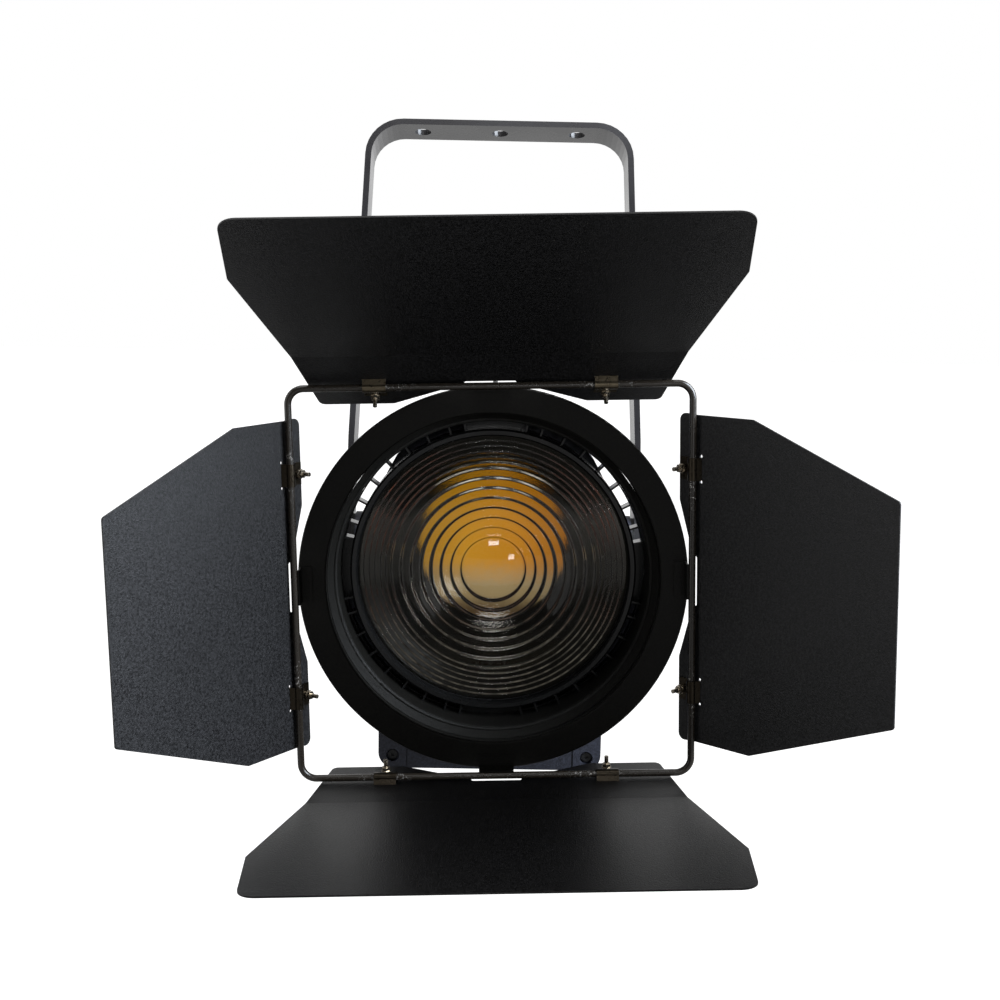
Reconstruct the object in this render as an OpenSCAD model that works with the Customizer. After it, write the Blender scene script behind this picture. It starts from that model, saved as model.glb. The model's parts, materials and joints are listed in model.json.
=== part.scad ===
// Fresnel spotlight with a rotating four-leaf barn door, hung from a flat-bar yoke.
// Frame: +Z up, the beam leaves along -Y, origin at the centre of the yoke's middle hole.
// The head is drawn in its own frame: origin at the centre of the square rod frame,
// beam axis along -Y, and head_at moves it under the yoke.

/* [Barn door] */
// Distance between the axes of opposite rods of the square frame
frame_size = 280; // [276:1:284]
// Diameter of the rod
rod_d = 5; // [4.5:0.1:5.4]
// Bend radius of the rod's corners, on its axis
rod_bend = 11; // [9:0.5:14]
// Thickness of the leaf sheet
sheet = 1.2; // [1:0.1:1.4]
// Distance from the rod's axis to the middle of the leaf sheet
sheet_offset = 4; // [3.8:0.1:4.4]
// Opening angle of the top leaf from the frame's plane
top_angle = 51.8; // [46:0.1:124]
// Opening angle of the bottom leaf from the frame's plane
bottom_angle = 84.5; // [46:0.1:124]
// Opening angle of the left leaf from the frame's plane
left_angle = 54.7; // [46:0.1:150]
// Opening angle of the right leaf from the frame's plane
right_angle = 47.4; // [46:0.1:150]
// Bend between the flange and the main panel of the top and bottom leaves
fold_angle = 8.3; // [4:0.1:14]
// Distance of each clip from the middle of its leaf
clip_u = 80; // [76:1:84]
// How far the barn door is turned about the beam, clockwise seen from the front
door_turn = -1.95; // [-5:0.05:5]

/* [Ring and lens] */
// Outer radius of the barn door's ring
ring_r = 139.4; // [139:0.1:139.6]
// Depth of the ring's front face behind the rod frame
ring_y = 13.2; // [12:0.1:14]
// Clear diameter of the fresnel lens
lens_d = 200; // [199:1:200]
// Radius of the lens's centre dome
dome_r = 23.7; // [20:0.1:28]
// Width of the wide zones around the dome
wide_zone = 7.45; // [7:0.05:7.6]

/* [Head] */
// Width of the housing
body_w = 172; // [170:1:174]
// Lowest point of the housing below the beam axis
body_low = 162; // [160:1:164]
// Highest point of the housing above the beam axis
body_high = 112; // [111:1:114]
// Front of the housing behind the rod frame
body_y = 75; // [75:0.1:75.4]
// Back of the housing behind the rod frame
back_y = 322; // [322:0.5:326]

/* [Yoke] */
// Width of the yoke's bar
bar_w = 35; // [32:1:38]
// Thickness of the yoke's bar
bar_t = 5; // [5:0.1:5.2]
// Distance from the tilt axis to the crossbar
yoke_h = 354; // [345:1:360]
// How far the yoke leans back from the vertical
lean = 15; // [10:1:20]
// Diameter of the three mounting holes
hole_d = 14; // [12:0.5:14]
// Distance between neighbouring mounting holes
hole_pitch = 66.7; // [60:0.1:70]

/* [Hidden] */
$fn = 96;
eps = 0.01;                          // overlap that joins the bodies of one solid
powder = "#1b1c1e";                  // black powder coat
bronze = "#2a2622";                  // worn black rod
steel = "#a9a9a6";
bright = "#c9cbcc";                  // bare aluminium
plastic = "#141414";
slate = "#2b2e36";                   // blue-grey housing

rod_r = rod_d / 2;
rod_half = frame_size / 2;
slot_v = 4;                          // slots of the clips' straps
side_ear = 14.3;                     // how far the side leaves reach inside the rod
fastener_v = -9.5;                   // clip screws, inside the rod
fastener_hole_r = 1.7;
pivot_y = 190;                       // tilt axis behind the rod frame
head_at = [0, -yoke_h * sin(lean) - pivot_y, -yoke_h * cos(lean)];

leg_top_x = 111.3;                   // axis of the legs under the corner bends
leg_low_x = 119.5;                   // axis of the legs beside the head
corner_r = 32;                       // outer radius of the yoke's corners
low_leg = 82;                        // length of the straight lower part above the pivot
leg_inner = leg_low_x - bar_t / 2;
leg_outer = leg_low_x + bar_t / 2;
stud_r = 5;                          // stud that carries the head in the yoke
stud_end = leg_outer + 18;           // outer end of the stud, inside its knob
knob_gap = 0.5;                      // between the yoke and the slack knob
run_gap = 0.06;                      // radial clearance of shafts in their bores
face_gap = 0.1;                      // axial clearance between moving faces

half_w = body_w / 2;
wall = 2.5;                          // wall of the housing shell
plate_t = 6;                         // thickness of the front plate
rear_t = 4;                          // thickness of the rear plate
top_r = 70;                          // top corners of the housing
low_r = 12;                          // bottom corners of the housing
shell_front = body_y + plate_t;
shell_back = back_y - rear_t;
shelf_z = -70;                       // top of the shelf between optics and driver
aperture_r = 78;                     // light opening in the front plate

hood_in = 113;                       // inner radius of the lens hood
hood_out = 119.3;                    // outer radius of the lens hood
sleeve_in = hood_out + 0.4;          // barn door sleeve that turns on the hood
sleeve_out = sleeve_in + 1.4;
screw_y = 37.5;                      // thumbscrews that clamp the sleeve on the hood
thumb_angles = [30, 150, 270];
thumb_r = 2;                         // shank of the thumbscrews

lens_r = lens_d / 2;
lens_y = 57;                         // front of the lens's rim
lens_rim = 6;                        // thickness of the rim
wide_zones = 7;                      // zones of the full width next to the dome
fine_zones = 6;                      // narrower zones towards the rim
fine_start = dome_r + wide_zones * wide_zone;
fine_zone = (lens_r - fine_start) / fine_zones;
dome_h = 2.8;                        // height of the dome over the rim's face
slope_per_mm = 0.0078;               // how the zones' slope grows with the radius

source_y = 118;                      // front of the light source's board
emitter_r = 38;
board_half = 50;                     // half the width of the board and its heat sink
board_t = 3.5;
rods_x = 72;                         // guide rods beside the light source
lead_z = -60;                        // lead screw below the light source
bush_r = 7;                          // bushes of the carriage
nut_r = 6;                           // barrel of the lead screw's nut
fan_z = 20;                          // axis of the fan above the beam axis
fan_front = shell_back - 25;
button_x = [30, 44, 58, 72];
button_z = -62;
screw_head_r = 3.6;                  // pan-head screws of the plates
screw_shank_r = 1.9;
screw_hole_r = 2.2;

// ---------- shared shapes ----------

module on_head() {
    translate(head_at) children();
}

module on_door() {
    on_head() rotate([0, door_turn, 0]) children();
}

// Turns a profile of [radius, depth] points about the beam axis.
module turned() {
    rotate([-90, 0, 0]) rotate_extrude($fn = 180) children();
}

// Cylinder along +Y.
module rod_y(r, h, sides = 64) {
    rotate([-90, 0, 0]) cylinder(r = r, h = h, $fn = sides);
}

// Cylinder along +X.
module rod_x(r, h, sides = 64) {
    rotate([0, 90, 0]) cylinder(r = r, h = h, $fn = sides);
}

// Box between two x, y and z limits.
module box(x, y, z) {
    translate([x[0], y[0], z[0]]) cube([x[1] - x[0], y[1] - y[0], z[1] - z[0]]);
}

function unit(v) = v / norm(v);

// Points of the arc of radius r that rounds the corner b between a and c.
function fillet(a, b, c, r) =
    let (
        to_a = unit(a - b),
        to_c = unit(c - b),
        half = acos(to_a * to_c) / 2,
        middle = b + unit(to_a + to_c) * r / sin(half),
        start = b + to_a * r / tan(half) - middle,
        finish = b + to_c * r / tan(half) - middle,
        turn = start[0] * finish[1] - start[1] * finish[0] > 0 ? 1 : -1,
        first = atan2(start[1], start[0]),
        sweep = turn * (180 - 2 * half)
    )
    [for (i = [0:8]) middle + r * [cos(first + sweep * i / 8), sin(first + sweep * i / 8)]];

// Outline whose corners [x, y, radius] are rounded where the radius is over 0.
function rounded(corners) =
    let (n = len(corners), at = [for (c = corners) [c[0], c[1]]])
    [for (i = [0:n - 1])
        each corners[i][2] > 0
            ? fillet(at[(i + n - 1) % n], at[i], at[(i + 1) % n], corners[i][2])
            : [at[i]]];

// Half an outline and its mirror image across x = 0.
function both_sides(half) =
    concat(half, [for (i = [len(half) - 1:-1:0]) [-half[i][0], half[i][1], half[i][2]]]);

// ---------- yoke ----------

// Half the outline of the bent bar, d inside its outer face.
function yoke_half(d) =
    let (
        low_x = leg_outer - d,
        top_x = leg_top_x + bar_t / 2 - d,
        top_z = bar_t / 2 - d
    )
    [[low_x, -yoke_h, 0], [low_x, low_leg - yoke_h, 0], [top_x, top_z, corner_r - d]];

module yoke() {
    half_bar = bar_w / 2;
    color("#222326") rotate([-lean, 0, 0]) difference() {
        union() {
            along_beam(-half_bar, half_bar) difference() {
                polygon(rounded(both_sides(yoke_half(0))));
                polygon(rounded(both_sides(concat(
                    [[leg_inner, -yoke_h - 1, 0]], [for (i = [1:2]) yoke_half(bar_t)[i]]
                ))));
            }
            for (s = [-1, 1])
                translate([s * leg_low_x - bar_t / 2, 0, -yoke_h]) rod_x(half_bar, bar_t);
        }
        for (x = [-hole_pitch, 0, hole_pitch])
            translate([x, 0, -bar_t]) cylinder(d = hole_d, h = 2 * bar_t);
        translate([-leg_outer - 1, 0, -yoke_h]) rod_x(stud_r + run_gap, 2 * leg_outer + 2);
    }
}

// Knob on the right-hand side, screwed on the head's stud outside the yoke.
module tilt_knob() {
    hub_x = leg_outer + knob_gap;
    knob_x = hub_x + 3;
    color(plastic) translate([0, pivot_y, 0]) difference() {
        union() {
            translate([knob_x, 0, 0]) rod_x(21, 26);
            translate([hub_x, 0, 0]) rod_x(11, 3 + eps);
        }
        for (a = [0:45:315])
            rotate([a, 0, 0]) translate([knob_x + 6, 0, 24]) rod_x(6, 21);
        translate([knob_x + 23, 0, 0]) rod_x(12, 4);
        translate([hub_x - 1, 0, 0]) rod_x(stud_r + run_gap, 22);
    }
}

module tilt_knob_right() {
    on_head() tilt_knob();
}

module tilt_knob_left() {
    on_head() mirror([1, 0, 0]) tilt_knob();
}

// Foot with a ribbed boss and the stud that turns in the yoke.
module side_bracket() {
    boss_end = leg_inner - 2.6;
    difference() {
        union() {
            box([half_w, half_w + 4], [-34, 34], [-34, 34]);
            translate([half_w + 4 - eps, 0, 0]) rod_x(20, boss_end - half_w - 4 + eps);
            for (a = [0:90:270])
                rotate([a + 45, 0, 0]) box([half_w + 4 - eps, boss_end - 8], [0, 30], [-2, 2]);
            translate([boss_end - eps, 0, 0]) rod_x(stud_r, stud_end - boss_end + eps);
        }
        for (y = [-27, 27], z = [-27, 27])
            translate([half_w - 1, y, z]) rod_x(2.7, 6);
    }
}

module side_brackets() {
    color(slate) on_head() translate([0, pivot_y, 0]) {
        side_bracket();
        mirror([1, 0, 0]) side_bracket();
    }
}

module friction_washer() {
    washer_t = 2.4;
    translate([leg_inner - washer_t - face_gap, 0, 0]) difference() {
        rod_x(18, washer_t);
        translate([-1, 0, 0]) rod_x(stud_r + 0.4, washer_t + 2);
    }
}

module friction_washers() {
    color("#3a3a38") on_head() translate([0, pivot_y, 0]) {
        friction_washer();
        mirror([1, 0, 0]) friction_washer();
    }
}

// ---------- housing ----------

// Outline of the housing seen along the beam, shrunk by inset.
module housing_outline(inset) {
    x = half_w - inset;
    polygon(rounded(both_sides([
        [x, inset - body_low, low_r - inset],
        [x, body_high - inset, top_r - inset]
    ])));
}

// Extrudes an x, z outline from front to back.
module along_beam(front, back) {
    translate([0, back, 0]) rotate([90, 0, 0]) linear_extrude(back - front) children();
}

// Front of the housing, with shoulders that close the space behind the hood's lower half.
module front_plate() {
    column = 64;
    color(slate) on_head() difference() {
        along_beam(body_y, shell_front) union() {
            housing_outline(0);
            intersection() {
                circle(r = hood_out, $fn = 180);
                translate([-hood_out, -hood_out]) square([2 * hood_out, hood_out - 15]);
            }
        }
        translate([0, body_y - 1, 0]) rod_y(aperture_r, plate_t + 2, 120);
        for (s = [-1, 1]) {
            box([s * column - 0.6, s * column + 0.6], [body_y - 1, body_y + 0.8], [-body_low - 1, -100]);
            translate([s * 75, body_y - 1, -152]) rod_y(5, 5.4);
            translate([s * 75, body_y, -152]) rod_y(screw_hole_r, plate_t + 1);
            translate([s * 77, body_y - 1, -112]) rod_y(screw_hole_r, plate_t + 2);
        }
    }
}

module housing_shell() {
    color(slate) on_head() difference() {
        along_beam(shell_front, shell_back) difference() {
            housing_outline(0);
            housing_outline(wall);
        }
        for (y = [238:9:301])
            box([-half_w - 1, half_w + 1], [y, y + 4], [-48, 36]);
        for (y = [96:9:150])
            box([-half_w - 1, half_w + 1], [y, y + 4], [-48, 36]);
        for (y = [100:9:280])
            box([-48, 48], [y, y + 4], [-body_low - 1, -body_low + wall + 1]);
    }
}

module rear_plate() {
    color(slate) on_head() difference() {
        along_beam(shell_back, back_y) housing_outline(0);
        translate([0, shell_back - 1, fan_z]) rod_y(57, rear_t + 2, 120);
        translate([0, shell_back - 1, lead_z]) rod_y(4 + run_gap, rear_t + 2);
        box([-76, -26], [shell_back - 1, back_y + 1], [-76, -50]);
        for (x = button_x)
            translate([x, shell_back - 1, button_z]) rod_y(4.5, rear_t + 2);
        for (x = [-62, -26, 26, 62])
            translate([x, shell_back - 1, -118]) rod_y(12, rear_t + 2);
        translate([0, shell_back - 1, -118]) rod_y(6.2, rear_t + 2);
        for (s = [-1, 1]) {
            translate([s * 77, shell_back - 1, -150]) rod_y(screw_hole_r, rear_t + 2);
            translate([s * 74, shell_back - 1, 60]) rod_y(screw_hole_r, rear_t + 2);
            translate([s * rods_x, shell_back - 1, 0]) rod_y(2.6, rear_t + 2);
        }
    }
}

// Pan-head screw whose head rests on the face y = 0 and whose shank runs to +Y.
module pan_screw(length, head_r = screw_head_r, shank_r = screw_shank_r) {
    difference() {
        translate([0, -2, 0]) rod_y(head_r, 2);
        translate([0, -3, 0]) rod_y(head_r * 0.45, 2.2, 6);
    }
    translate([0, -0.5, 0]) rod_y(shank_r, length + 0.5, 32);
}

module plate_screws() {
    color(steel) on_head() {
        for (s = [-1, 1]) {
            translate([s * 75, body_y + 4.4, -152]) pan_screw(1.4);
            translate([s * 77, body_y, -112]) pan_screw(plate_t - 0.2);
            translate([s * 77, back_y, -150]) rotate([0, 0, 180]) pan_screw(rear_t - 0.2);
            translate([s * 74, back_y, 60]) rotate([0, 0, 180]) pan_screw(rear_t - 0.2);
            translate([s * rods_x, back_y, 0]) rotate([0, 0, 180]) pan_screw(rear_t - 0.2, 4, 2.3);
        }
        for (s = [-1, 1], y = [-27, 27], z = [-27, 27])
            translate([s * (half_w + 4), pivot_y + y, z])
                rotate([0, 0, s * 90]) pan_screw(3.8, 4, 2.4);
    }
}

module divider_shelf() {
    color(bright) on_head() difference() {
        box([-half_w + wall + 0.2, half_w - wall - 0.2], [shell_front + 2, 300], [shelf_z - 2, shelf_z]);
        for (x = [-60:20:60])
            box([x - 2, x + 2], [100, 270], [shelf_z - 3, shelf_z + 1]);
    }
}

module rubber_feet() {
    color(plastic) on_head()
        for (x = [-62, 62], y = [150, 292])
            translate([x, y, -body_low - 5]) difference() {
                cylinder(r = 9, h = 5);
                translate([0, 0, -1]) cylinder(r = 3.5, h = 3);
            }
}

module carry_handle() {
    reach = 34;
    bar_r = 5;
    bend = 9;
    post_x = 50;
    z = 92;
    color(plastic) on_head() translate([0, back_y, z]) {
        for (s = [-1, 1]) {
            translate([s * post_x, 0, 0]) rod_y(bar_r, reach - bend);
            translate([s * post_x, 0, 0]) rod_y(8.5, 3);
            translate([s * (post_x - bend), reach - bend, 0])
                mirror([s < 0 ? 1 : 0, 0, 0])
                    rotate_extrude(angle = 90, $fn = 96) translate([bend, 0]) circle(r = bar_r, $fn = 48);
        }
        translate([bend - post_x, reach, 0]) rod_x(bar_r, 2 * (post_x - bend));
    }
}

module safety_eye() {
    eye_y = 250;
    eye_z = body_high + 14;
    color(steel) on_head() difference() {
        union() {
            box([-14, 14], [eye_y - 22, eye_y + 22], [body_high, body_high + 3]);
            box([-2, 2], [eye_y - 12, eye_y + 12], [body_high + 3 - eps, eye_z]);
            translate([-2, eye_y, eye_z]) rod_x(12, 4);
        }
        translate([-3, eye_y, eye_z]) rod_x(7, 6);
        for (y = [-17, 17])
            translate([0, eye_y + y, body_high - 1]) cylinder(r = 2.6, h = 5);
    }
}

// ---------- lens and its holder ----------

module lens_hood() {
    color(powder) on_head() turned() union() {
        polygon([
            [hood_in, 29.5], [hood_in + 2.2, 27.6], [hood_out, 20.5],
            [hood_out, body_y], [hood_in, body_y]
        ]);
        translate([hood_in + 1.6, 28.6]) circle(r = 1.6, $fn = 48);
    }
}

module slot_ring() {
    bezel = lens_r + 5.6;
    outer = hood_in - 0.15;
    color(plastic) on_head() {
        difference() {
            turned() union() {
                polygon([
                    [lens_r + 0.4, 49], [lens_r + 1.4, 47], [bezel - 1.4, 47], [bezel, 48.6],
                    [bezel, 66], [lens_r + 2.7, 66], [lens_r + 2.7, 55], [lens_r + 0.4, 55]
                ]);
                translate([bezel - eps, 61]) square([outer - bezel + eps, 3]);
            }
            for (quarter = [0:90:270])
                rotate([0, quarter, 0]) slot_sector(bezel, outer);
        }
        for (quarter = [0:90:270], a = [12, 18, 27, 36, 45, 54, 63, 72, 78])
            rotate([0, quarter + a, 0]) box([bezel - 0.1, outer], [50, 62], [-0.7, 0.7]);
    }
}

// Opening of one quarter of the slot ring, from 12 to 78 degrees.
module slot_sector(inner, outer) {
    rotate([-90, 0, 0]) translate([0, 0, 60]) difference() {
        linear_extrude(6) intersection() {
            difference() {
                circle(r = outer - 0.9, $fn = 180);
                circle(r = inner, $fn = 180);
            }
            polygon([[0, 0], 200 * [cos(12), sin(12)], 200 * [1, 1], 200 * [cos(78), sin(78)]]);
        }
    }
}

// Holds the lens by its rim, clear of the bezel's rear edge.
module lens_pan() {
    color(powder) on_head() turned() polygon([
        [lens_r - 2, lens_y + lens_rim], [lens_r + 2.4, lens_y + lens_rim],
        [lens_r + 2.4, 66], [lens_r + 5.6, 66], [lens_r + 5.6, body_y],
        [aperture_r, body_y], [aperture_r, body_y - 3], [lens_r - 2, 69]
    ]);
}

module lens_gasket() {
    color("#3b3936") on_head() turned()
        translate([lens_r + 0.6, 55]) square([2, lens_y - 55]);
}

// Inner radius and width of each stepped zone.
function lens_zones() = concat(
    [for (i = [0:wide_zones - 1]) [dome_r + i * wide_zone, wide_zone]],
    [for (i = [0:fine_zones - 1]) [fine_start + i * fine_zone, fine_zone]]
);

module fresnel_lens() {
    dome = [for (i = [0:8]) let (r = dome_r * i / 8) [r, lens_y - dome_h * (1 - pow(i / 8, 2))]];
    steps = [for (z = lens_zones())
        let (h = z[1] * slope_per_mm * (z[0] + z[1] / 2))
        each [[z[0] + 0.15, lens_y - h], [z[0] + z[1], lens_y]]];
    rim = lens_r + 2.4;
    color("#d8c48a") on_head() turned() polygon(concat(
        dome, steps,
        [[rim, lens_y], [rim, lens_y + lens_rim], [0, lens_y + lens_rim]]
    ));
}

// ---------- light source on its carriage ----------

module reflector() {
    front = 104;
    thick = 1.4;
    color(bright) on_head() turned() polygon([
        [emitter_r + 1, source_y - 0.2], [53, front], [55, front],
        [55, front + thick], [emitter_r + 1 + thick, source_y - 0.2]
    ]);
}

module led_emitter() {
    color("#e0a92c") on_head() translate([0, source_y - 1.6, 0]) rod_y(emitter_r, 1.6, 120);
}

module led_board() {
    color(bright) on_head() difference() {
        box([-board_half, board_half], [source_y, source_y + board_t], [-board_half, board_half]);
        for (x = [-44, 44], z = [-44, 44])
            translate([x, source_y - 1, z]) rod_y(1.7, board_t + 2);
    }
}

module heat_sink() {
    base = source_y + board_t;
    fins = 15;
    first = 1 - board_half;
    color(bright) on_head() {
        box([-board_half, board_half], [base, base + 8], [-board_half, board_half]);
        for (i = [0:fins])
            translate([first - 2 * first * i / fins, 0, 0])
                box([-0.8, 0.8], [base + 8 - eps, base + 58], [-board_half, board_half]);
    }
}

module carriage_plate() {
    front = source_y + 6;
    hole = board_half + face_gap;
    color(steel) on_head() difference() {
        box([-80, 80], [front, front + 3], [-69, 52]);
        box([-hole, hole], [front - 1, front + 4], [-hole, hole]);
        for (s = [-1, 1])
            translate([s * rods_x, front - 1, 0]) rod_y(bush_r + run_gap, 5);
        translate([0, front - 1, lead_z]) rod_y(nut_r + run_gap, 5);
    }
}

module carriage_bushes() {
    color("#b08d57") on_head()
        for (s = [-1, 1])
            translate([s * rods_x, source_y - 6, 0]) difference() {
                rod_y(bush_r, 30);
                translate([0, -1, 0]) rod_y(4 + run_gap, 32);
            }
}

module guide_rods() {
    color(steel) on_head()
        for (s = [-1, 1])
            translate([s * rods_x, shell_front, 0]) rod_y(4, shell_back - shell_front);
}

module lead_nut() {
    color("#b08d57") on_head() translate([0, source_y, lead_z]) difference() {
        union() {
            rod_y(nut_r, 22);
            translate([0, 2, 0]) rod_y(8, 4);
        }
        translate([0, -1, 0]) rod_y(4 + run_gap, 24);
    }
}

module lead_screw() {
    front = source_y - 4;
    color(steel) on_head() translate([0, 0, lead_z]) {
        translate([0, front, 0]) rod_y(4, back_y + 16 - front);
        translate([0, shell_back - 4.3, 0]) rod_y(7, 4);
    }
}

module focus_knob() {
    color(plastic) on_head() translate([0, back_y + 1, lead_z]) difference() {
        union() {
            rod_y(8, 3);
            translate([0, 3 - eps, 0]) rod_y(14.5, 14);
        }
        translate([0, -1, 0]) rod_y(4 + run_gap, 16);
        for (a = [0:20:340])
            rotate([0, a, 0]) translate([0, 5, 15.3]) rod_y(1.6, 20, 24);
    }
}

// ---------- driver, controls and sockets ----------

module driver_unit() {
    color("#8d9094") on_head() {
        box([-68, 68], [100, 280], [-body_low + wall + 0.5, -body_low + wall + 3]);
        box([-64, 64], [108, 272], [-body_low + wall + 3 - eps, -104]);
        for (y = [118:12:262])
            box([-64, 64], [y, y + 3], [-104 - eps, -100]);
    }
}

module control_board() {
    color("#1f4d33") on_head() {
        difference() {
            box([-80, 80], [302, 303.6], [-92, -44]);
            translate([0, 301, lead_z]) rod_y(6, 4);
        }
        for (x = button_x)
            box([x - 3, x + 3], [303.6 - eps, 310.6], [button_z - 3, button_z + 3]);
        box([-74, -28], [303.6 - eps, 315], [-74, -52]);
    }
}

module display_window() {
    color("#0c1420") on_head() {
        box([-75.8, -26.2], [shell_back, back_y + 0.6], [-75.8, -50.2]);
        box([-79, -23], [shell_back - 1.5, shell_back], [-79, -47]);
    }
}

module button(x) {
    inner = shell_back - 0.2;
    color(plastic) on_head() translate([x, 0, button_z]) {
        translate([0, 312.3, 0]) rod_y(4.4, back_y + 3 - 312.3);
        translate([0, inner - 2, 0]) rod_y(6, 2);
    }
}

module button_1() {
    button(button_x[0]);
}

module button_2() {
    button(button_x[1]);
}

module button_3() {
    button(button_x[2]);
}

module button_4() {
    button(button_x[3]);
}

// Round panel socket with a square flange and three contact holes.
module socket(x, hole_r, contact_r) {
    translate([x, 0, -118]) difference() {
        union() {
            box([-14, 14], [back_y, back_y + 2.5], [-15, 15]);
            translate([0, back_y - 26, 0]) rod_y(11.8, 26 + 4.5);
        }
        translate([0, back_y - 8, 0]) rod_y(hole_r, 20);
        for (a = [90, 210, 330])
            rotate([0, a, 0]) translate([hole_r * 0.55, back_y - 18, 0]) rod_y(contact_r, 20, 24);
        for (s = [-1, 1])
            translate([s * 11.5, back_y - 1, s * 12.5]) rod_y(1.6, 5, 24);
    }
}

module power_sockets() {
    color("#23415f") on_head() {
        socket(-62, 9, 1.6);
        socket(-26, 9, 1.6);
    }
}

module signal_sockets() {
    color(plastic) on_head() {
        socket(26, 8, 1.2);
        socket(62, 8, 1.2);
    }
}

module fuse_holder() {
    color(plastic) on_head() translate([0, 0, -118]) {
        translate([0, back_y - 24, 0]) rod_y(6, 24 + eps);
        translate([0, back_y, 0]) rod_y(8, 2);
        difference() {
            translate([0, back_y + 2 - eps, 0]) rod_y(6.5, 7);
            box([-5, 5], [back_y + 7, back_y + 10], [-0.8, 0.8]);
        }
    }
}

// ---------- fan ----------

module fan_frame() {
    color(plastic) on_head() translate([0, fan_front, fan_z]) {
        difference() {
            box([-60, 60], [0, 25], [-60, 60]);
            translate([0, -1, 0]) rod_y(57.5, 27, 120);
            for (x = [-52.5, 52.5], z = [-52.5, 52.5])
                translate([x, -1, z]) rod_y(2.2, 27);
        }
        for (a = [30, 150, 270])
            rotate([0, a, 0]) box([18, 58], [0, 3], [-2.5, 2.5]);
        rod_y(20, 3);
        translate([0, 3 - eps, 0]) rod_y(3, 15);
    }
}

module fan_rotor() {
    color("#1a1a1a") on_head() translate([0, fan_front + 3.5, fan_z]) difference() {
        union() {
            rod_y(20, 18);
            for (a = [0:360 / 7:359])
                rotate([0, a, 0]) translate([0, 9, 0]) rotate([38, 0, 0])
                    box([18, 55], [-9, 9], [-0.8, 0.8]);
        }
        translate([0, -1, 0]) rod_y(3 + run_gap, 16);
    }
}

module fan_guard() {
    wire = 1;
    color(steel) on_head() translate([0, back_y + wire, fan_z]) {
        for (r = [14, 25, 36, 47, 57])
            turned() translate([r, 0]) circle(r = wire, $fn = 24);
        for (a = [0:60:120])
            rotate([0, a, 0]) box([-60, 60], [0.2, 2], [-1.2, 1.2]);
    }
}

// ---------- barn door ----------

// Flat flange of the ring with rolled edges.
module door_ring() {
    lip = 1.3;
    roll = 1.6;
    color(powder) on_door() turned() union() {
        polygon([
            [sleeve_in, ring_y + roll], [sleeve_in + roll, ring_y], [ring_r - lip, ring_y],
            [ring_r - lip, ring_y + 1.2], [sleeve_in + roll, ring_y + 1.2],
            [sleeve_in + roll, ring_y + 2 * roll]
        ]);
        translate([ring_r - lip, ring_y + lip]) circle(r = lip, $fn = 48);
        translate([sleeve_in + roll, ring_y + roll]) circle(r = roll, $fn = 48);
    }
}

// Sleeve behind the flange that turns on the hood, with bosses for the thumbscrews.
module ring_sleeve() {
    front = ring_y + 3.3;
    color(powder) on_door() difference() {
        union() {
            turned() translate([sleeve_in, front]) square([sleeve_out - sleeve_in, 46 - front]);
            for (a = thumb_angles)
                rotate([0, -a, 0]) translate([sleeve_out - 0.6, screw_y, 0]) rod_x(5.5, 4.6);
        }
        for (a = thumb_angles)
            rotate([0, -a, 0]) translate([sleeve_in - 4, screw_y, 0]) rod_x(thumb_r + run_gap, 20);
    }
}

module thumbscrew(a) {
    head_x = sleeve_out + 5;
    tip_x = hood_out + 0.2;
    color(steel) on_door() rotate([0, -a, 0]) translate([0, screw_y, 0]) {
        translate([tip_x, 0, 0]) rod_x(thumb_r, head_x - tip_x + 0.1);
        difference() {
            translate([head_x, 0, 0]) rod_x(6.5, 10);
            for (g = [0:30:330])
                rotate([g, 0, 0]) translate([head_x + 2, 0, 7]) rod_x(1.1, 12, 24);
        }
    }
}

module thumbscrew_1() {
    thumbscrew(thumb_angles[0]);
}

module thumbscrew_2() {
    thumbscrew(thumb_angles[1]);
}

module thumbscrew_3() {
    thumbscrew(thumb_angles[2]);
}

module rod_frame() {
    straight = rod_half - rod_bend;
    color(bronze) on_door()
        for (a = [0:90:270])
            rotate([0, a, 0]) {
                translate([-straight, 0, rod_half]) rod_x(rod_r, 2 * straight);
                translate([straight, 0, straight]) rotate([90, 0, 0])
                    rotate_extrude(angle = 90, $fn = 96) translate([rod_bend, 0]) circle(r = rod_r, $fn = 48);
            }
}

// L-shaped brackets between the ring's face and the inside of the rod.
module ring_brackets() {
    half = 12.5;
    outside = rod_half - rod_r;
    thick = 1.2;
    color(powder) on_door()
        for (a = [0:90:270])
            rotate([0, a, 0]) {
                box([-half, half], [-1.5, ring_y], [outside - thick, outside]);
                box([-half, half], [ring_y - thick, ring_y], [outside - 8.5, outside - thick + eps]);
            }
}

// Places a leaf drawn flat: X along the rod, Y away from the frame, rod axis at the origin,
// sheet behind the rod (-Z). side turns it round the frame, angle opens it.
module hinged(side, angle) {
    on_door() rotate([0, side, 0]) translate([0, 0, rod_half]) rotate([90 + angle, 0, 0]) children();
}

// Inner edge of a leaf: a notch over the ring's bracket, then ears beside the clips.
function inner_edge(notch, ear_at, ear, depth) =
    [[18, notch, 1.5], [18, -3, 1], [21, -3, 0], [ear_at, -depth, 5], [ear, -depth, 5]];

// Slots and screw holes for the two clips.
module clip_holes() {
    for (s = [-1, 1]) {
        box([s * clip_u - 8.5, s * clip_u + 8.5], [slot_v, slot_v + 1.5], [-10, 0]);
        translate([s * clip_u, fastener_v, -10]) cylinder(r = fastener_hole_r, h = 10, $fn = 32);
    }
}

// Small holes at the ends of the clips' slots.
module relief_holes() {
    for (s = [-1, 1], e = [-9, 9])
        translate([s * clip_u + e, slot_v + 0.7, -10]) cylinder(r = 1.1, h = 10, $fn = 32);
}

module sheet_plate(outline) {
    translate([0, 0, -sheet_offset - sheet / 2]) linear_extrude(sheet) polygon(rounded(outline));
}

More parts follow.
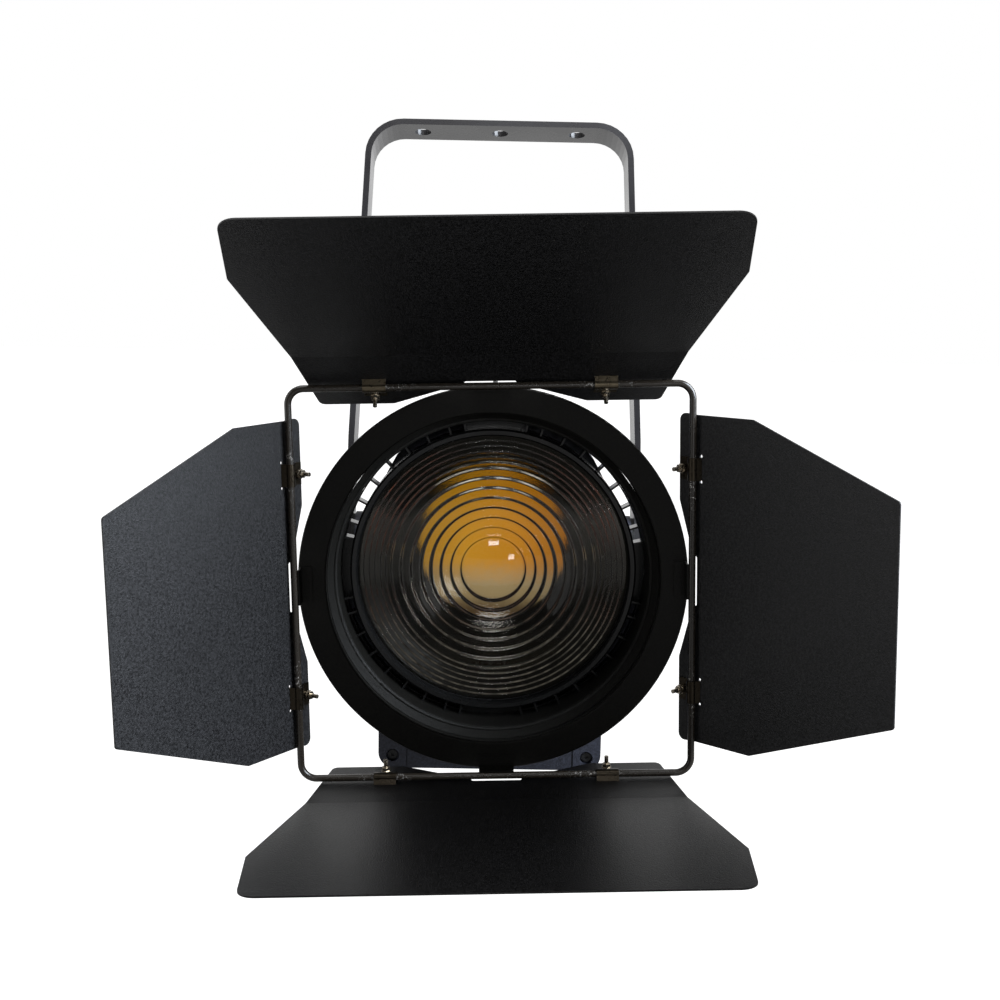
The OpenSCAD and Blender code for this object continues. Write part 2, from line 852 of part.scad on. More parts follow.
// Cross-section of a sheet folded forward at distance fold_v from the rod.
function folded_strip(fold_v, reach) =
    let (
        h = sheet / 2,
        mitre = h * tan(fold_angle / 2),
        along = [cos(fold_angle), sin(fold_angle)],
        across = [-sin(fold_angle), cos(fold_angle)],
        fold = [fold_v, -sheet_offset]
    )
    [
        [-30, -sheet_offset - h], fold + [mitre, -h], fold + reach * along - h * across,
        fold + reach * along + h * across, fold + [-mitre, h], [-30, -sheet_offset + h]
    ];

// Top or bottom leaf: short flange with ears, and a long panel folded forward.
module long_leaf() {
    fold_v = 32.4;
    corner_v = 103;
    tip_v = 167.8;
    shrink = cos(fold_angle);
    outline = concat(inner_edge(1, 68, 119.9, 25), [
        [133.3, fold_v, 0],
        [157, fold_v + corner_v * shrink, 4],
        [151.6, fold_v + tip_v * shrink, 12]
    ]);
    difference() {
        intersection() {
            translate([-170, 0, 0]) rotate([90, 0, 90]) linear_extrude(340)
                polygon(folded_strip(fold_v, tip_v + 10));
            translate([0, 0, -20]) linear_extrude(80) polygon(rounded(both_sides(outline)));
        }
        clip_holes();
    }
}

// Left or right leaf: one flat panel that narrows outward.
module short_leaf() {
    outline = concat(inner_edge(1.6, 57, 119, side_ear), [[117.7, 0, 0], [117, 48.4, 4], [72.6, 160.4, 2.5]]);
    difference() {
        sheet_plate(both_sides(outline));
        clip_holes();
        relief_holes();
    }
}

// Strap over the rod: saddle, outer leg through the leaf's slot, inner tab under the screw.
module clip_pair() {
    strap = 1;
    in_r = rod_r + run_gap;
    out_r = in_r + strap;
    front = -sheet_offset + sheet / 2;
    width = 16;
    for (s = [-1, 1])
        difference() {
            translate([s * clip_u - width / 2, 0, 0]) rotate([90, 0, 90]) linear_extrude(width) union() {
                difference() {
                    circle(r = out_r);
                    circle(r = in_r);
                    translate([-10, -10]) square([20, 10]);
                }
                polygon([
                    [in_r, eps], [out_r, eps], [slot_v + 1.2, front], [slot_v + 1.2, front - 2.2],
                    [slot_v + 1.2 - strap, front - 2.2], [slot_v + 1.2 - strap, front]
                ]);
                translate([-out_r, front]) square([strap, -front + eps]);
                translate([-13.5, front]) square([13.5 - in_r, strap]);
            }
            translate([s * clip_u, fastener_v, -10]) cylinder(r = fastener_hole_r, h = 20, $fn = 32);
        }
}

// Screw from behind through sheet and tab, with a spacer, washer and nut on the tab.
module clip_fastener_pair() {
    back = -sheet_offset - sheet / 2;
    tab = -sheet_offset + sheet / 2 + 1;
    end = 9.2;
    for (s = [-1, 1])
        translate([s * clip_u, fastener_v, 0]) {
            translate([0, 0, back - 1.8]) cylinder(r = 2.8, h = 1.8, $fn = 48);
            translate([0, 0, back - 0.5]) cylinder(r = 1.5, h = end - back + 0.5, $fn = 32);
            difference() {
                union() {
                    translate([0, 0, tab]) cylinder(r = 2.3, h = 2.8, $fn = 48);
                    translate([0, 0, tab + 2.8]) cylinder(r = 3.4, h = 0.7, $fn = 48);
                    translate([0, 0, tab + 3.5]) rotate([0, 0, 30]) cylinder(r = 3.1, h = 2.4, $fn = 6);
                }
                translate([0, 0, tab - 1]) cylinder(r = 1.52, h = 8, $fn = 32);
            }
        }
}

module leaf_top() {
    color(powder) hinged(0, top_angle) long_leaf();
}

module leaf_right() {
    color(powder) hinged(90, right_angle) short_leaf();
}

module leaf_bottom() {
    color(powder) hinged(180, bottom_angle) long_leaf();
}

module leaf_left() {
    color(powder) hinged(270, left_angle) short_leaf();
}

module clips_top() {
    color(bronze) hinged(0, top_angle) clip_pair();
}

module clips_right() {
    color(bronze) hinged(90, right_angle) clip_pair();
}

module clips_bottom() {
    color(bronze) hinged(180, bottom_angle) clip_pair();
}

module clips_left() {
    color(bronze) hinged(270, left_angle) clip_pair();
}

module clip_fasteners_top() {
    color(steel) hinged(0, top_angle) clip_fastener_pair();
}

module clip_fasteners_right() {
    color(steel) hinged(90, right_angle) clip_fastener_pair();
}

module clip_fasteners_bottom() {
    color(steel) hinged(180, bottom_angle) clip_fastener_pair();
}

module clip_fasteners_left() {
    color(steel) hinged(270, left_angle) clip_fastener_pair();
}

// ---------- drawing ----------

yoke();
tilt_knob_left();
tilt_knob_right();
side_brackets();
friction_washers();
front_plate();
housing_shell();
rear_plate();
plate_screws();
divider_shelf();
lens_hood();
slot_ring();
lens_pan();
lens_gasket();
fresnel_lens();
reflector();
led_emitter();
led_board();
heat_sink();
carriage_plate();
carriage_bushes();
guide_rods();
lead_nut();
lead_screw();
focus_knob();
driver_unit();
control_board();
display_window();
button_1();
button_2();
button_3();
button_4();
power_sockets();
signal_sockets();
fuse_holder();
fan_frame();
fan_rotor();
fan_guard();
carry_handle();
safety_eye();
rubber_feet();
door_ring();
ring_sleeve();
rod_frame();
ring_brackets();
thumbscrew_1();
thumbscrew_2();
thumbscrew_3();
leaf_top();
clips_top();
clip_fasteners_top();
leaf_right();
clips_right();
clip_fasteners_right();
leaf_bottom();
clips_bottom();
clip_fasteners_bottom();
leaf_left();
clips_left();
clip_fasteners_left();
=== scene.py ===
import json
import math

import bmesh
import bpy
from mathutils import Matrix, Vector


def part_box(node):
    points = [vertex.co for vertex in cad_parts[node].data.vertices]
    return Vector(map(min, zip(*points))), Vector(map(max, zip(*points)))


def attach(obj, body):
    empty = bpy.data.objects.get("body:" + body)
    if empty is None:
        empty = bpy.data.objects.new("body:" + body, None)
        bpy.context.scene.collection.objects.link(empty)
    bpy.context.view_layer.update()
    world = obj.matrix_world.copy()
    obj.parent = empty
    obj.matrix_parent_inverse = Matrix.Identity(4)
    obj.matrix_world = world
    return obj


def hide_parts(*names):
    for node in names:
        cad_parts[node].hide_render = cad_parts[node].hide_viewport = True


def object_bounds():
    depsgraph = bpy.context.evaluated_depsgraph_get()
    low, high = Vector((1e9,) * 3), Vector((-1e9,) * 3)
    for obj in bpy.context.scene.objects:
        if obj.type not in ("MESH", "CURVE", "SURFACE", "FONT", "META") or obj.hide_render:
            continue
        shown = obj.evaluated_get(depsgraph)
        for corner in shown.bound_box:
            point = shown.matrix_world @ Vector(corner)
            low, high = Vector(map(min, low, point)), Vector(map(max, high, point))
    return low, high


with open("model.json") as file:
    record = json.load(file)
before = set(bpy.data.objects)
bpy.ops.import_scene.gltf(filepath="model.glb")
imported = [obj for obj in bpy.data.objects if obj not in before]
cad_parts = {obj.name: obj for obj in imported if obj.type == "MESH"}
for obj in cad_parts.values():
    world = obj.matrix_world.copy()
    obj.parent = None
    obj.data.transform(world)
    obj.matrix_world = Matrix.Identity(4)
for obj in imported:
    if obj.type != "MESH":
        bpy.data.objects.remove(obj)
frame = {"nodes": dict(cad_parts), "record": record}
CAD_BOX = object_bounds()
NODES = frame["nodes"]
SCENE = bpy.context.scene
MM = 0.001
WHITE = (1, 1, 1)

# How bright the surroundings are in front of the fixture and behind it.
FRONT_SKY, BACK_SKY = 0.04, 1.15
FRONT_FLOOR, BACK_FLOOR = 0.12, 0.9
FLOOR_DROP, FLOOR_HALF = 0.35, 14.0

# The camera's focal length (mm), and its place (mm) and turns in the doors' frame.
FOCAL_LENGTH, SENSOR_WIDTH = 49.83, 36
CAMERA_PLACE = (0.8, -955.1, 205.5)
PITCH, YAW, ROLL = (math.radians(a) for a in (8.64, 0.284, -0.84))

# The edges that are rounded (mm), and the least angle that counts as an edge.
EDGE_WIDTHS = {
    "yoke": 1.3,
    "front_plate": 0.8,
    "rear_plate": 0.6,
    "side_brackets": 0.8,
    "safety_eye": 0.6,
    "tilt_knob_left": 0.8,
    "tilt_knob_right": 0.8,
    "focus_knob": 0.6,
    "power_sockets": 0.4,
    "signal_sockets": 0.4,
}
EDGE_ANGLE = math.radians(40)
EDGE_SEGMENTS = 2

# The head's own frame: origin in the middle of the square rod frame, beam along -Y.
rod_low, rod_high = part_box("rod_frame")
HEAD = (rod_low + rod_high) / 2
JOINTS = {j["name"]: j for j in frame["record"]["behaviour"]["joints"]}


def at_head(x, y, z):
    """A point of the head's own frame, given in millimetres."""
    return HEAD + Vector((x, y, z)) * MM


# ---------------------------------------------------------------- node helpers


class Graph:
    """Short names for building one material's nodes."""

    def __init__(self, name):
        self.material = bpy.data.materials.new(name)
        self.material.use_nodes = True
        self.tree = self.material.node_tree
        self.shader = self.tree.nodes["Principled BSDF"]
        self.place = self.node("ShaderNodeTexCoord").outputs["Object"]

    def node(self, kind, **settings):
        made = self.tree.nodes.new(kind)
        for key, value in settings.items():
            setattr(made, key, value)
        return made

    def link(self, source, target):
        self.tree.links.new(source, target)
        return target

    def put(self, socket, value):
        """Links an output or sets a plain value."""
        if isinstance(value, bpy.types.NodeSocket):
            self.link(value, socket)
        else:
            socket.default_value = value

    def noise(self, scale, detail=3.0, rough=0.5, place=None):
        n = self.node("ShaderNodeTexNoise")
        n.inputs["Scale"].default_value = scale
        n.inputs["Detail"].default_value = detail
        n.inputs["Roughness"].default_value = rough
        self.link(place or self.place, n.inputs["Vector"])
        return n.outputs["Fac"]

    def stretch(self, factors):
        """The object's coordinates scaled along each axis."""
        n = self.node("ShaderNodeMapping")
        n.inputs["Scale"].default_value = factors
        self.link(self.place, n.inputs["Vector"])
        return n.outputs["Vector"]

    def ramp(self, value, low, high, out_low=0.0, out_high=1.0):
        n = self.node("ShaderNodeMapRange")
        n.inputs["From Min"].default_value = low
        n.inputs["From Max"].default_value = high
        n.inputs["To Min"].default_value = out_low
        n.inputs["To Max"].default_value = out_high
        self.link(value, n.inputs["Value"])
        return n.outputs["Result"]

    def spread(self, noise, out_low=0.0, out_high=1.0):
        """A noise drawn out from its usual span to the two values."""
        return self.ramp(noise, 0.3, 0.7, out_low, out_high)

    def math(self, kind, a, b=0.0):
        n = self.node("ShaderNodeMath", operation=kind)
        self.put(n.inputs[0], a)
        self.put(n.inputs[1], b)
        return n.outputs["Value"]

    def mix(self, factor, a, b):
        n = self.node("ShaderNodeMix", data_type="RGBA")
        self.put(n.inputs["Factor"], factor)
        self.put(n.inputs["A"], a)
        self.put(n.inputs["B"], b)
        return n.outputs["Result"]

    def axes(self):
        n = self.node("ShaderNodeSeparateXYZ")
        self.link(self.place, n.inputs["Vector"])
        return n.outputs["X"], n.outputs["Y"], n.outputs["Z"]

    def bump(self, height, distance, strength=1.0):
        n = self.node("ShaderNodeBump")
        n.inputs["Distance"].default_value = distance
        n.inputs["Strength"].default_value = strength
        self.link(height, n.inputs["Height"])
        self.link(n.outputs["Normal"], self.shader.inputs["Normal"])

    def set(self, **values):
        """Sets the shader's sockets by name, with _ for a space."""
        for key, value in values.items():
            self.put(self.shader.inputs[key.replace("_", " ")], value)


def rgb(r, g, b):
    return (r, g, b, 1.0)


# ---------------------------------------------------------------- materials


def powder_coat(name, dark, light, roughness, specular):
    """Fine-grained matt paint: dark and light are its two tones."""
    g = Graph(name)
    grain = g.noise(560, 3, 0.65)
    cloud = g.noise(9, 2)
    tone = g.math("MULTIPLY", g.ramp(grain, 0.36, 0.66), g.spread(cloud, 0.75, 1.0))
    g.set(Base_Color=g.mix(tone, dark, light), Specular_IOR_Level=specular)
    g.set(Roughness=g.spread(grain, roughness - 0.06, roughness + 0.06))
    g.bump(g.noise(1000, 2, 0.6), 0.0003, 0.8)
    return g.material


def gloss_paint(name):
    """Smooth black paint with smears and a faint orange peel."""
    g = Graph(name)
    peel = g.noise(260, 2)
    smear = g.noise(14, 3)
    dark, light = rgb(0.012, 0.011, 0.012), rgb(0.020, 0.019, 0.020)
    g.set(Base_Color=g.mix(g.spread(smear), dark, light))
    g.set(Roughness=g.spread(smear, 0.22, 0.32), Specular_IOR_Level=0.45)
    g.bump(peel, 0.0001, 0.25)
    return g.material


def worn_rod(name):
    """Satin bronze-black rod, rubbed to bright specks beside the clips."""
    g = Graph(name)
    x, _, z = g.axes()
    clip_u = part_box("clips_top")[1].x - HEAD.x - 8 * MM

    def near_clip(along, middle):
        """1 beside the clips of the rods that run this way, and 0 away from them."""
        out = g.math("ABSOLUTE", g.math("SUBTRACT", along, middle))
        gap = g.math("ABSOLUTE", g.math("SUBTRACT", out, clip_u))
        return g.ramp(gap, 20 * MM, 10 * MM)

    near = [near_clip(x, HEAD.x), near_clip(z, HEAD.z)]
    speck = g.noise(520, 5, 0.75)
    worn = g.math("MULTIPLY", g.ramp(speck, 0.57, 0.63), g.math("MAXIMUM", *near))
    paint, bare = rgb(0.014, 0.011, 0.008), rgb(0.55, 0.53, 0.50)
    g.set(Base_Color=g.mix(worn, paint, bare), Metallic=worn)
    g.set(Roughness=g.spread(g.noise(90), 0.24, 0.3), Specular_IOR_Level=0.5)
    return g.material


def plain_metal(name, tone, roughness, lines=(1, 1, 1), scale=700):
    """Metal of one tone with fine streaks, longest along the axis that lines makes least."""
    g = Graph(name)
    streak = g.noise(scale, 3, 0.6, g.stretch(lines))
    shade = [c * 0.75 for c in tone]
    g.set(Base_Color=g.mix(g.spread(streak), rgb(*shade), rgb(*tone)), Metallic=1.0)
    g.set(Roughness=g.spread(streak, roughness - 0.05, roughness + 0.08))
    g.bump(streak, 0.00003, 0.5)
    return g.material


def plastic(name, tone, roughness, specular=0.4, grain=1500):
    """Moulded plastic or rubber of one tone with a fine grain."""
    g = Graph(name)
    spark = g.noise(grain, 3, 0.6)
    shade = [c * 0.7 for c in tone]
    g.set(Base_Color=g.mix(g.spread(spark), rgb(*shade), rgb(*tone)))
    g.set(Roughness=g.spread(g.noise(40, 2), roughness - 0.05, roughness + 0.05))
    g.set(Specular_IOR_Level=specular)
    g.bump(spark, 0.00006, 0.35)
    return g.material


def lens_glass(name, stipple_height):
    """Clear pressed glass with a trace of haze and a surface stippled to the given height."""
    g = Graph(name)
    stipple = g.noise(1200, 2, 0.5)
    g.set(Base_Color=rgb(0.90, 0.84, 0.70), Transmission_Weight=0.994, IOR=1.5)
    g.set(Roughness=g.spread(stipple, 0.005, 0.03))
    g.bump(stipple, stipple_height, 0.4)
    return g.material


def riser_glass(name):
    """The frosted steps between the lens's zones, given emission as painted light.

    The upper ones carry painted orange glints towards the sides, and the lower ones a paler base
    colour and painted pale highlights, as light from above would give them.
    """
    g = Graph(name)
    x, _, z = g.axes()
    sideways = g.math("ABSOLUTE", g.math("SUBTRACT", x, HEAD.x))
    out = g.ramp(sideways, 20 * MM, 75 * MM)
    up = g.ramp(z, HEAD.z + 8 * MM, HEAD.z + 45 * MM)
    # Painted orange glints on the upper steps towards the sides.
    painted_glow = g.math("MULTIPLY", g.math("MULTIPLY", out, up), g.ramp(g.noise(90), 0.35, 0.6))
    low = g.ramp(z, HEAD.z - 10 * MM, HEAD.z - 50 * MM)
    # Painted pale highlights on the lower steps, as light from above would give them.
    painted_pale_highlight = g.math("MULTIPLY", low, g.ramp(g.noise(160, 4, 0.7), 0.4, 0.65))
    # Painted light: the lower steps get a paler base colour.
    pale = g.mix(low, rgb(0.02, 0.018, 0.014), rgb(0.20, 0.18, 0.14))
    g.set(Base_Color=g.mix(g.noise(300), rgb(0.015, 0.013, 0.01), pale))
    g.set(Roughness=0.6, Specular_IOR_Level=0.2)
    # The emission is painted light, not a lamp.
    g.set(Emission_Color=g.mix(low, rgb(0.7, 0.13, 0.02), rgb(0.60, 0.54, 0.42)))
    g.set(Emission_Strength=g.math("MULTIPLY", g.math("ADD", painted_glow, painted_pale_highlight), 0.14))
    return g.material


def phosphor(name):
    """Amber phosphor with a cream strip and a dark foot at its lower side, given emission as
    painted light that stands in for the room's light falling on it.
    """
    g = Graph(name)
    low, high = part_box("led_emitter")
    middle = (low + high) / 2
    x, _, z = g.axes()
    rise = g.ramp(z, low.z, high.z)
    wavy = g.math("ADD", rise, g.spread(g.noise(700, 3, 0.6), -0.03, 0.03))
    foot = g.mix(g.ramp(wavy, 0.06, 0.16), rgb(0.07, 0.055, 0.035), rgb(0.42, 0.34, 0.20))
    amber = g.mix(g.ramp(x, low.x, high.x), rgb(0.66, 0.36, 0.012), rgb(0.62, 0.23, 0.0))
    tone = g.mix(g.ramp(wavy, 0.24, 0.40), foot, amber)
    across = g.math("SUBTRACT", x, middle.x)
    upward = g.math("SUBTRACT", z, middle.z)
    squares = [g.math("MULTIPLY", side, side) for side in (across, upward)]
    away = g.math("SQRT", g.math("ADD", *squares))
    radius = high.z - middle.z
    # Painted light: the emission is brightest in the middle and dimmer towards the rim.
    painted_glow = g.ramp(away, 0.4 * radius, radius, 0.8, 0.42)
    g.set(Base_Color=rgb(0.2, 0.1, 0.02), Roughness=0.5, Specular_IOR_Level=0.1)
    g.set(Emission_Color=tone, Emission_Strength=painted_glow)
    return g.material


def display_glass(name):
    """Dark glass of the display, with a faint smear."""
    g = Graph(name)
    g.set(Base_Color=g.mix(g.noise(30), rgb(0.004, 0.008, 0.012), rgb(0.008, 0.014, 0.02)))
    g.set(Roughness=g.spread(g.noise(90), 0.06, 0.12), Specular_IOR_Level=0.6)
    return g.material


def circuit_board(name):
    """Green board with lighter traces."""
    g = Graph(name)
    trace = g.noise(120, 1, 0.3, g.stretch((1, 1, 4)))
    g.set(Base_Color=g.mix(g.ramp(trace, 0.48, 0.52), rgb(0.01, 0.07, 0.03), rgb(0.03, 0.16, 0.07)))
    g.set(Roughness=0.35)
    return g.material


BLACK = powder_coat(
    "black_powder", rgb(0.003, 0.003, 0.0033), rgb(0.020, 0.020, 0.0215), 0.42, 0.3
)
RING = powder_coat(
    "ring_powder", rgb(0.0038, 0.0035, 0.003), rgb(0.0085, 0.008, 0.0065), 0.56, 0.2
)
SLATE = powder_coat(
    "slate_powder", rgb(0.012, 0.013, 0.019), rgb(0.028, 0.031, 0.045), 0.52, 0.3
)
CLIP = plain_metal("clip_dark", (0.045, 0.037, 0.027), 0.3, scale=500)
# The top clips' metal is a brighter copy of the others': painted light from above on them.
CLIP_TOP_LIT = plain_metal("clip_top_painted_highlight", (0.14, 0.115, 0.078), 0.3, scale=500)
SCREW = plain_metal("screw_tan", (0.55, 0.49, 0.40), 0.25)
# Near-black copies for the pieces inside the head in place of their own colours: painted shade of
# the head's inside.
INSIDE_SHADE = plastic("inside_painted_shade", (0.006, 0.006, 0.006), 0.5, 0.2)
INSIDE_SHADE_METAL = plain_metal("inside_metal_painted_shade", (0.035, 0.032, 0.026), 0.4)
MATERIALS = {
    "gloss_black": gloss_paint("gloss_black"),
    "black_powder": BLACK,
    "worn_black": worn_rod("worn_black"),
    "slate_powder": SLATE,
    "steel": plain_metal("steel", (0.62, 0.61, 0.58), 0.25),
    "aluminium": plain_metal("aluminium", (0.78, 0.79, 0.80), 0.3, (1, 0.05, 1)),
    "driver_case": plain_metal("driver_case", (0.5, 0.51, 0.53), 0.35, (1, 0.05, 1)),
    "brass": plain_metal("brass", (0.66, 0.46, 0.18), 0.25),
    "black_plastic": plastic("black_plastic", (0.012, 0.012, 0.012), 0.4),
    "blue_plastic": plastic("blue_plastic", (0.02, 0.07, 0.17), 0.4),
    "rubber": plastic("rubber", (0.014, 0.014, 0.014), 0.7, 0.25),
    "lens_glass": lens_glass("lens_glass", 0.00002),
    "phosphor": phosphor("phosphor"),
    "display": display_glass("display"),
    "circuit_board": circuit_board("circuit_board"),
}
# Pieces that look unlike the rest of their slot.
OWN_MATERIAL = {
    "door_ring": RING,
    "ring_sleeve": RING,
    "ring_brackets": RING,
    "lens_hood": RING,
    "plate_screws": BLACK,
    # Painted shade: the pieces inside the head get the near-black copies.
    "lens_pan": INSIDE_SHADE,
    "divider_shelf": INSIDE_SHADE_METAL,
    "led_board": INSIDE_SHADE,
    "lead_nut": INSIDE_SHADE_METAL,
    "lead_screw": INSIDE_SHADE_METAL,
    "guide_rods": INSIDE_SHADE_METAL,
    "heat_sink": INSIDE_SHADE_METAL,
    "carriage_plate": INSIDE_SHADE_METAL,
    "slot_ring": plastic("slot_black", (0.007, 0.007, 0.007), 0.25, 0.4, 300),
    # Painted shade: the reflector is dark as the inside of the head.
    "reflector": plastic("reflector_painted_shade", (0.012, 0.010, 0.008), 0.4, 0.3),
}
for side in ("top", "right", "bottom", "left"):
    # Painted light: the top clips take the brighter copy.
    OWN_MATERIAL["clips_" + side] = CLIP_TOP_LIT if side == "top" else CLIP
    OWN_MATERIAL["clip_fasteners_" + side] = SCREW


def dress(obj, material):
    obj.data.materials.clear()
    obj.data.materials.append(material)


SLOT_OF = {s["node"]: s["material_slot"] for s in frame["record"]["subparts"]}
for name, obj in NODES.items():
    dress(obj, OWN_MATERIAL.get(name, MATERIALS[SLOT_OF[name]]))


def soften(name, width):
    """Rounds the sharp edges of a CAD node by a small bevel."""
    bevel = NODES[name].modifiers.new("edge", "BEVEL")
    bevel.width = width * MM
    bevel.segments = EDGE_SEGMENTS
    bevel.limit_method = "ANGLE"
    bevel.angle_limit = EDGE_ANGLE
    bevel.harden_normals = True


# ---------------------------------------------------------------- new pieces


def lathe(name, profile, steps, materials, material_of):
    """Turns a profile of (radius, depth) points, in mm, about the beam axis.

    material_of gives the number of the material between a point and the next.
    """
    mesh = bpy.data.meshes.new(name)
    made = bmesh.new()
    rings = []
    for r, y in profile:
        if r < 0.01:
            rings.append([made.verts.new(at_head(0, y, 0))])
            continue
        turn = [2 * math.pi * i / steps for i in range(steps)]
        rings.append([made.verts.new(at_head(r * math.cos(a), y, r * math.sin(a))) for a in turn])
    for k in range(len(rings) - 1):
        a, b = rings[k], rings[k + 1]
        for i in range(steps):
            j = (i + 1) % steps
            corners = [a[i % len(a)], a[j % len(a)], b[j % len(b)], b[i % len(b)]]
            face = made.faces.new(list(dict.fromkeys(corners)))
            face.smooth = True
            face.material_index = material_of(k)
    bmesh.ops.recalc_face_normals(made, faces=made.faces)
    made.to_mesh(mesh)
    made.free()
    obj = bpy.data.objects.new(name, mesh)
    SCENE.collection.objects.link(obj)
    for m in materials:
        mesh.materials.append(m)
    return obj


def stepped_lens():
    """The lens with curved zones, sharp steps, a domed centre and a stippled back."""
    rim_depth, front_chamfer, chamfer = 6.0, 0.3, 0.4
    dome_r, dome_rise, dome_steps = 23.7, 2.8, 14
    wide, wide_count, clear_r, fine_count = 7.45, 7, 100.0, 6
    focal, index, weaken = 171.0, 1.5, 0.67
    riser_w, facet_steps, facet_bow = 0.55, 5, 0.04
    turn_steps = 180
    facet_kind, riser_kind, back_kind = range(3)
    rim_low, rim_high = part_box("fresnel_lens")
    back = (rim_high.y - HEAD.y) / MM
    rim_r = (rim_high.x - rim_low.x) / 2 / MM
    rim_front = back - rim_depth
    edges = [dome_r + wide * i for i in range(wide_count + 1)]
    fine = (clear_r - edges[-1]) / fine_count
    edges += [edges[-1] + fine * (i + 1) for i in range(fine_count)]

    def slope(r):
        """Tangent of the facet that sends a ray at radius r towards the focus."""
        angle = math.atan(r / focal)
        return math.sin(angle) / (index - math.cos(angle)) * weaken

    profile, kinds = [], []

    def add(r, y, kind=facet_kind):
        """Adds a point, and the kind of surface that leads to it."""
        profile.append((r, y))
        kinds.append(kind)

    for i in range(dome_steps + 1):
        r = dome_r * i / dome_steps
        add(r, rim_front - dome_rise * (1 - (r / dome_r) ** 2))
    for inner, outer in zip(edges, edges[1:]):
        rise = slope((inner + outer) / 2) * (outer - inner)
        add(inner + riser_w, rim_front - rise, riser_kind)
        for i in range(1, facet_steps + 1):
            t = i / facet_steps
            bow = facet_bow * rise * 4 * t * (1 - t)
            add(inner + riser_w + (outer - inner - riser_w) * t, rim_front - rise * (1 - t) - bow)
    add(rim_r - front_chamfer, rim_front)
    add(rim_r, rim_front + chamfer)
    add(rim_r, back - chamfer)
    add(rim_r - chamfer, back)
    add(0, back, back_kind)
    by_kind = [MATERIALS["lens_glass"], riser_glass("lens_steps_painted_glints"), lens_glass("lens_back", 0.00012)]
    lens = lathe("lens", profile, turn_steps, by_kind, lambda k: kinds[k + 1])
    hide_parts("fresnel_lens")
    # Diffuse and glossy rays pass the lens by, so nothing outside mirrors it.
    lens.visible_diffuse = False
    lens.visible_glossy = False
    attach(lens, "head")
    return lens


for name, width in EDGE_WIDTHS.items():
    soften(name, width)
LENS = stepped_lens()
# The emitter's painted light is seen through the lens but doesn't light the rest.
NODES["led_emitter"].visible_diffuse = False
NODES["led_emitter"].visible_glossy = False

# ---------------------------------------------------------------- camera, floor and light


def camera():
    """The camera stands a little above the lens's axis and looks down at the front."""
    data = bpy.data.cameras.new("camera")
    data.sensor_width = SENSOR_WIDTH
    data.lens = FOCAL_LENGTH
    data.clip_start, data.clip_end = 0.05, 60
    cam = bpy.data.objects.new("camera", data)
    SCENE.collection.objects.link(cam)
    turn = Matrix.Rotation(-YAW, 4, "Z") @ Matrix.Rotation(math.pi / 2 - PITCH, 4, "X")
    level = Matrix.Translation(Vector(CAMERA_PLACE) * MM) @ turn @ Matrix.Rotation(ROLL, 4, "Z")
    # The doors stand a little turned about the beam, and the camera turns with them.
    hinge = JOINTS["top_leaf_hinge"]["axis"]
    door_turn = math.atan2(hinge[2], -hinge[0])
    cam.matrix_world = Matrix.Translation(HEAD) @ Matrix.Rotation(door_turn, 4, "Y") @ level
    SCENE.camera = cam


def floor():
    """Wide pale floor below the hung fixture, white to the camera and aglow at the back."""
    z = CAD_BOX[0].z - FLOOR_DROP
    mesh = bpy.data.meshes.new("floor")
    corners = [(x * FLOOR_HALF, y * FLOOR_HALF, z) for x, y in ((-1, -1), (1, -1), (1, 1), (-1, 1))]
    mesh.from_pydata(corners, [], [(0, 1, 2, 3)])
    obj = bpy.data.objects.new("floor", mesh)
    SCENE.collection.objects.link(obj)
    g = Graph("floor")
    g.set(Base_Color=g.mix(g.noise(3), rgb(0.40, 0.40, 0.40), rgb(0.44, 0.44, 0.44)))
    g.set(Roughness=0.9, Specular_IOR_Level=0.1)
    seen = g.node("ShaderNodeLightPath").outputs["Is Camera Ray"]
    behind = g.ramp(g.axes()[1], 0.3, 1.2, FRONT_FLOOR, BACK_FLOOR)
    g.set(Emission_Color=rgb(1, 1, 1), Emission_Strength=g.math("MAXIMUM", seen, behind))
    mesh.materials.append(g.material)
    return obj


def softbox(name, place, size, power, tint):
    """A rectangular lamp of a size in metres and a power in watts, aimed at the head."""
    data = bpy.data.lights.new(name, "AREA")
    data.color = tint
    data.shape = "RECTANGLE"
    data.size, data.size_y = size
    data.energy = power
    obj = bpy.data.objects.new(name, data)
    obj.location = place
    obj.rotation_euler = (HEAD - place).to_track_quat("-Z", "Y").to_euler()
    # No lamp shows through the glass, so the inside of the head stays dark.
    obj.visible_transmission = False
    SCENE.collection.objects.link(obj)
    return obj


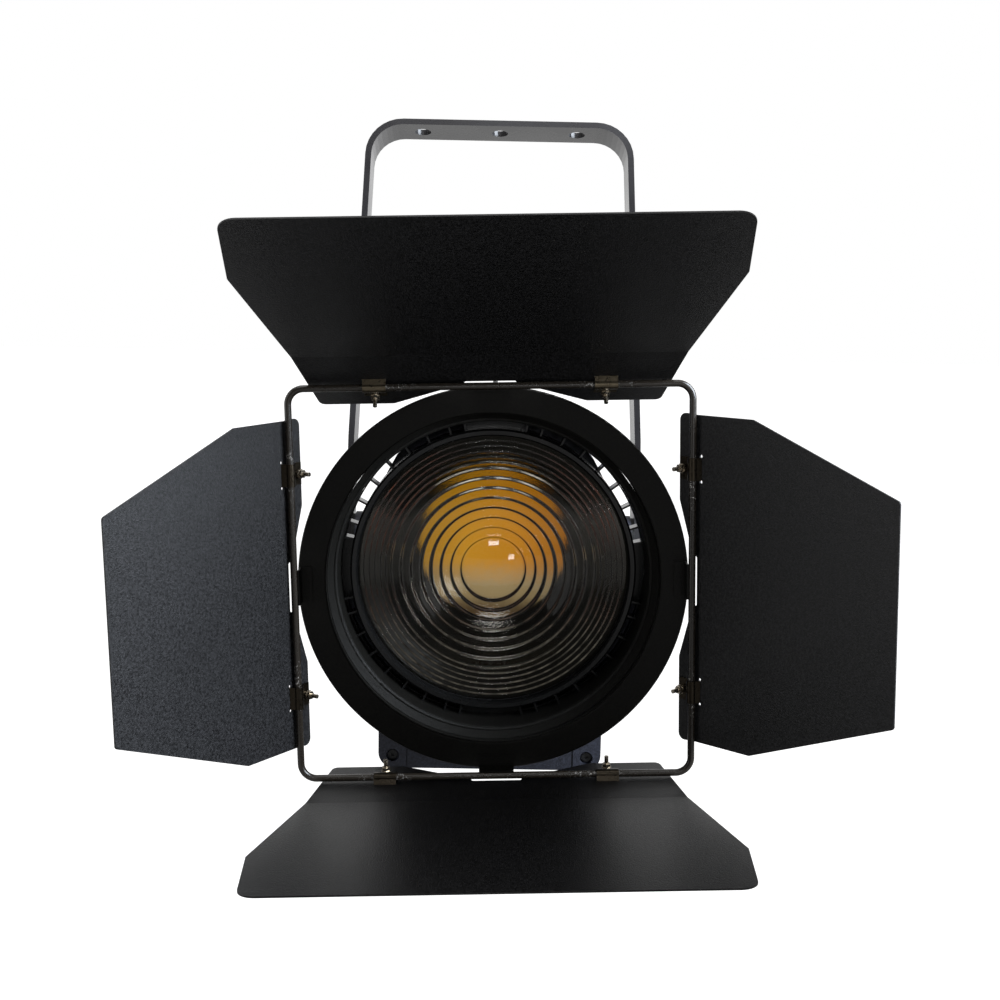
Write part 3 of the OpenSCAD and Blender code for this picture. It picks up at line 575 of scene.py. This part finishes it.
def keep_off(light, flagged):
    """Keeps a lamp's light off some pieces, as a studio flag does."""
    kept_out = bpy.data.collections.new("kept out of " + light.name)
    for obj in flagged:
        kept_out.objects.link(obj)
    light.light_linking.receiver_collection = kept_out
    for member in kept_out.collection_objects:
        member.light_linking.link_state = "EXCLUDE"


def sky():
    """White to the camera; to everything else bright behind the fixture and dark in front."""
    world = bpy.data.worlds.new("sky")
    world.use_nodes = True
    tree = world.node_tree
    back = tree.nodes["Background"]
    seen = tree.nodes.new("ShaderNodeLightPath").outputs["Is Camera Ray"]
    parts = tree.nodes.new("ShaderNodeSeparateXYZ")
    place = tree.nodes.new("ShaderNodeTexCoord")
    tree.links.new(place.outputs["Generated"], parts.inputs["Vector"])
    depth = tree.nodes.new("ShaderNodeMapRange")
    spans = {"From Min": 0.05, "From Max": 0.55, "To Min": FRONT_SKY, "To Max": BACK_SKY}
    for key, value in spans.items():
        depth.inputs[key].default_value = value
    tree.links.new(parts.outputs["Y"], depth.inputs["Value"])
    level = tree.nodes.new("ShaderNodeMix")
    tree.links.new(seen, level.inputs["Factor"])
    tree.links.new(depth.outputs["Result"], level.inputs["A"])
    level.inputs["B"].default_value = 1.0
    tree.links.new(level.outputs["Result"], back.inputs["Strength"])
    back.inputs["Color"].default_value = (1, 1, 1, 1)
    SCENE.world = world


camera()
FLOOR = floor()
sky()
WINDOW_TINT = (0.84, 0.91, 1.0)
OFF_WINDOW = [NODES[n] for n in ("leaf_top", "leaf_bottom", "door_ring", "ring_brackets")]
# Each lamp's name, place in the head's frame (mm), size, power, tint and what it is kept off.
LAMPS = (
    ("top", (-200, -300, 1500), (1.6, 1.2), 14, WHITE, [LENS]),
    ("window", (1500, -550, 900), (1.5, 1.5), 148, WINDOW_TINT, [LENS, FLOOR] + OFF_WINDOW),
    ("fill", (-1500, -500, 300), (0.8, 1.6), 6, WHITE, [LENS]),
    ("glint above", (5, -1400, 320), (0.24, 0.09), 0.9, WHITE, []),
    ("glint right", (440, -1400, 0), (0.14, 0.12), 0.6, WHITE, []),
)
for name, place, size, power, tint, flagged in LAMPS:
    lamp = softbox(name, at_head(*place), size, power, tint)
    if flagged:
        keep_off(lamp, flagged)
SCENE.view_settings.view_transform = "Standard"
